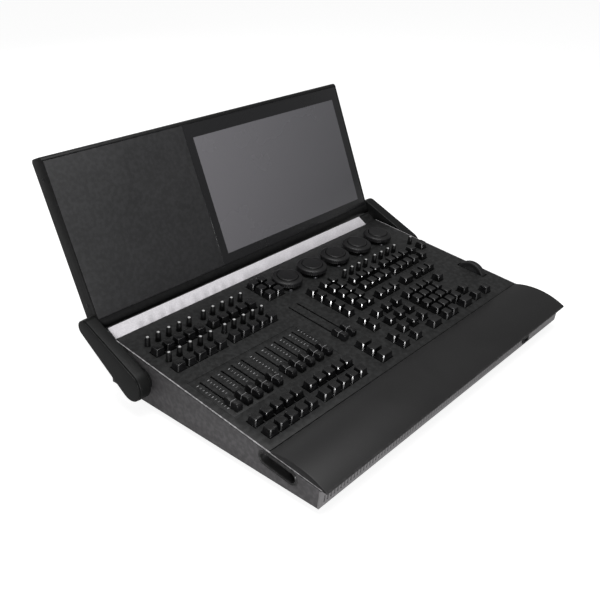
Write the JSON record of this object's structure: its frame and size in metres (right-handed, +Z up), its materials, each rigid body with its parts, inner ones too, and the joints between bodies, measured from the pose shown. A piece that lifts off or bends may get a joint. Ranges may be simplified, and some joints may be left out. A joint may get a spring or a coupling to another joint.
{
  "type": "lighting control desk",
  "caption": "Sloping control desk with faders, keys, rotary encoders and a level wheel, and a tilting screen panel carried on two side arms.",
  "frame": {"origin": "centre of the whole desk's box, on the surface that it stands on", "axes": "+X to the operator's right, +Y to the back, away from the operator, +Z up"},
  "size_m": [0.671, 0.5354, 0.333],
  "materials": {
    "desk_coat": "satin powder coat, near black",
    "cheek_coat": "satin grey coat",
    "palm_skin": "smooth satin rest",
    "arm_coat": "satin dark grey coat",
    "panel_coat": "satin dark coat",
    "cover_plate": "satin dark plate",
    "screen_glass": "dark polished glass",
    "display": "lit grey picture",
    "strip_white": "pale writing strip",
    "key_rubber": "satin black keycap",
    "knob_rubber": "soft black",
    "fader_black": "satin black with a pale line",
    "encoder_black": "satin black",
    "wheel_rubber": "ribbed rubber",
    "foot_rubber": "matt",
    "steel": "zinc plated",
    "black_steel": "black zinc",
    "board_green": "solder mask",
    "switch_black": "moulded",
    "socket_black": "moulded",
    "lamp_clear": "smoked lens"
  },
  "bodies": {
    "base": {"base_pan": "desk_coat", "rubber_feet": "foot_rubber", "front_fascia": "cheek_coat", "usb_port": "socket_black", "side_cheek_left": "cheek_coat", "side_cheek_right": "cheek_coat", "side_handles": "desk_coat", "rear_panel": "desk_coat", "rear_screws": "black_steel", "rear_sockets": "socket_black", "power_inlet": "socket_black", "main_board": "board_green", "power_supply": "steel", "palm_rest": "palm_skin", "top_panel": "desk_coat", "fader_plate": "desk_coat", "fader_tracks": "steel", "panel_board": "board_green", "key_switches": "switch_black", "label_strip": "strip_white", "encoder_bodies": "steel", "encoder_lamps": "lamp_clear", "wheel_bracket": "steel", "arm_pivots": "arm_coat"},
    "arms": {"arm_left": "arm_coat", "arm_right": "arm_coat", "arm_screws": "black_steel"},
    "screen": {"screen_shell": "panel_coat", "screen_plate": "cover_plate", "screen_glass": "screen_glass", "lcd_module": "display", "screen_pins": "steel"},
    "executor_keys": {"executor_keys": "key_rubber"},
    "playback_keys": {"playback_keys": "key_rubber"},
    "feature_keys": {"feature_keys": "key_rubber"},
    "command_keys": {"command_keys": "key_rubber"},
    "control_knobs": {"control_knobs": "knob_rubber"},
    "level_wheel": {"level_wheel": "wheel_rubber"},
    "channel_fader_01": {"channel_fader_01": "fader_black"},
    "channel_fader_02": {"channel_fader_02": "fader_black"},
    "channel_fader_03": {"channel_fader_03": "fader_black"},
    "channel_fader_04": {"channel_fader_04": "fader_black"},
    "channel_fader_05": {"channel_fader_05": "fader_black"},
    "channel_fader_06": {"channel_fader_06": "fader_black"},
    "channel_fader_07": {"channel_fader_07": "fader_black"},
    "channel_fader_08": {"channel_fader_08": "fader_black"},
    "channel_fader_09": {"channel_fader_09": "fader_black"},
    "channel_fader_10": {"channel_fader_10": "fader_black"},
    "master_fader_1": {"master_fader_1": "fader_black"},
    "master_fader_2": {"master_fader_2": "fader_black"},
    "encoder_ring_1": {"encoder_ring_1": "encoder_black"},
    "encoder_dial_1": {"encoder_dial_1": "encoder_black"},
    "encoder_ring_2": {"encoder_ring_2": "encoder_black"},
    "encoder_dial_2": {"encoder_dial_2": "encoder_black"},
    "encoder_ring_3": {"encoder_ring_3": "encoder_black"},
    "encoder_dial_3": {"encoder_dial_3": "encoder_black"},
    "encoder_ring_4": {"encoder_ring_4": "encoder_black"},
    "encoder_dial_4": {"encoder_dial_4": "encoder_black"},
    "encoder_ring_5": {"encoder_ring_5": "encoder_black"},
    "encoder_dial_5": {"encoder_dial_5": "encoder_black"}
  },
  "joints": [
    {"name": "arm_lift", "type": "hinge", "parent": "base", "child": "arms", "pos_m": [0, 0.06501, 0.052], "axis": [1, 0, 0], "range_deg": [0, 55]},
    {"name": "screen_tilt", "type": "hinge", "parent": "arms", "child": "screen", "pos_m": [0, 0.16075, 0.10617], "axis": [1, 0, 0], "range_deg": [-25, 63]},
    {"name": "channel_fader_01_slide", "type": "slide", "parent": "base", "child": "channel_fader_01", "axis": [0, 0.9924, 0.1231], "range_m": [0, 0.06]},
    {"name": "channel_fader_02_slide", "type": "slide", "parent": "base", "child": "channel_fader_02", "axis": [0, 0.9924, 0.1231], "range_m": [0, 0.06]},
    {"name": "channel_fader_03_slide", "type": "slide", "parent": "base", "child": "channel_fader_03", "axis": [0, 0.9924, 0.1231], "range_m": [0, 0.06]},
    {"name": "channel_fader_04_slide", "type": "slide", "parent": "base", "child": "channel_fader_04", "axis": [0, 0.9924, 0.1231], "range_m": [0, 0.06]},
    {"name": "channel_fader_05_slide", "type": "slide", "parent": "base", "child": "channel_fader_05", "axis": [0, 0.9924, 0.1231], "range_m": [0, 0.06]},
    {"name": "channel_fader_06_slide", "type": "slide", "parent": "base", "child": "channel_fader_06", "axis": [0, 0.9924, 0.1231], "range_m": [0, 0.06]},
    {"name": "channel_fader_07_slide", "type": "slide", "parent": "base", "child": "channel_fader_07", "axis": [0, 0.9924, 0.1231], "range_m": [0, 0.06]},
    {"name": "channel_fader_08_slide", "type": "slide", "parent": "base", "child": "channel_fader_08", "axis": [0, 0.9924, 0.1231], "range_m": [0, 0.06]},
    {"name": "channel_fader_09_slide", "type": "slide", "parent": "base", "child": "channel_fader_09", "axis": [0, 0.9924, 0.1231], "range_m": [0, 0.06]},
    {"name": "channel_fader_10_slide", "type": "slide", "parent": "base", "child": "channel_fader_10", "axis": [0, 0.9924, 0.1231], "range_m": [0, 0.06]},
    {"name": "master_fader_1_slide", "type": "slide", "parent": "base", "child": "master_fader_1", "axis": [0, 0.9924, 0.1231], "range_m": [0, 0.1]},
    {"name": "master_fader_2_slide", "type": "slide", "parent": "base", "child": "master_fader_2", "axis": [0, 0.9924, 0.1231], "range_m": [0, 0.1]},
    {"name": "encoder_ring_1_turn", "type": "hinge", "parent": "base", "child": "encoder_ring_1", "pos_m": [-0.0027, 0.07711, 0.08397], "axis": [0, -0.1231, 0.9924], "continuous": true},
    {"name": "encoder_dial_1_turn", "type": "hinge", "parent": "base", "child": "encoder_dial_1", "pos_m": [-0.0027, 0.07711, 0.08397], "axis": [0, -0.1231, 0.9924], "continuous": true},
    {"name": "encoder_ring_2_turn", "type": "hinge", "parent": "base", "child": "encoder_ring_2", "pos_m": [0.0586, 0.07711, 0.08397], "axis": [0, -0.1231, 0.9924], "continuous": true},
    {"name": "encoder_dial_2_turn", "type": "hinge", "parent": "base", "child": "encoder_dial_2", "pos_m": [0.0586, 0.07711, 0.08397], "axis": [0, -0.1231, 0.9924], "continuous": true},
    {"name": "encoder_ring_3_turn", "type": "hinge", "parent": "base", "child": "encoder_ring_3", "pos_m": [0.1199, 0.07711, 0.08397], "axis": [0, -0.1231, 0.9924], "continuous": true},
    {"name": "encoder_dial_3_turn", "type": "hinge", "parent": "base", "child": "encoder_dial_3", "pos_m": [0.1199, 0.07711, 0.08397], "axis": [0, -0.1231, 0.9924], "continuous": true},
    {"name": "encoder_ring_4_turn", "type": "hinge", "parent": "base", "child": "encoder_ring_4", "pos_m": [0.1812, 0.07711, 0.08397], "axis": [0, -0.1231, 0.9924], "continuous": true},
    {"name": "encoder_dial_4_turn", "type": "hinge", "parent": "base", "child": "encoder_dial_4", "pos_m": [0.1812, 0.07711, 0.08397], "axis": [0, -0.1231, 0.9924], "continuous": true},
    {"name": "encoder_ring_5_turn", "type": "hinge", "parent": "base", "child": "encoder_ring_5", "pos_m": [0.2425, 0.07711, 0.08397], "axis": [0, -0.1231, 0.9924], "continuous": true},
    {"name": "encoder_dial_5_turn", "type": "hinge", "parent": "base", "child": "encoder_dial_5", "pos_m": [0.2425, 0.07711, 0.08397], "axis": [0, -0.1231, 0.9924], "continuous": true},
    {"name": "level_wheel_turn", "type": "hinge", "parent": "base", "child": "level_wheel", "pos_m": [0.2885, -0.09889, 0.04874], "axis": [1, 0, 0], "continuous": true},
    {"name": "executor_keys_press", "type": "slide", "parent": "base", "child": "executor_keys", "axis": [0, 0.1231, -0.9924], "range_m": [0, 0.0025], "stiffness_N_per_m": 2000, "springref_m": -0.002},
    {"name": "playback_keys_press", "type": "slide", "parent": "base", "child": "playback_keys", "axis": [0, 0.1231, -0.9924], "range_m": [0, 0.0025], "stiffness_N_per_m": 2000, "springref_m": -0.002},
    {"name": "feature_keys_press", "type": "slide", "parent": "base", "child": "feature_keys", "axis": [0, 0.1231, -0.9924], "range_m": [0, 0.0025], "stiffness_N_per_m": 2000, "springref_m": -0.002},
    {"name": "command_keys_press", "type": "slide", "parent": "base", "child": "command_keys", "axis": [0, 0.1231, -0.9924], "range_m": [0, 0.0025], "stiffness_N_per_m": 2000, "springref_m": -0.002},
    {"name": "control_knobs_press", "type": "slide", "parent": "base", "child": "control_knobs", "axis": [0, 0.1231, -0.9924], "range_m": [0, 0.001], "stiffness_N_per_m": 3000, "springref_m": -0.001}
  ]
}
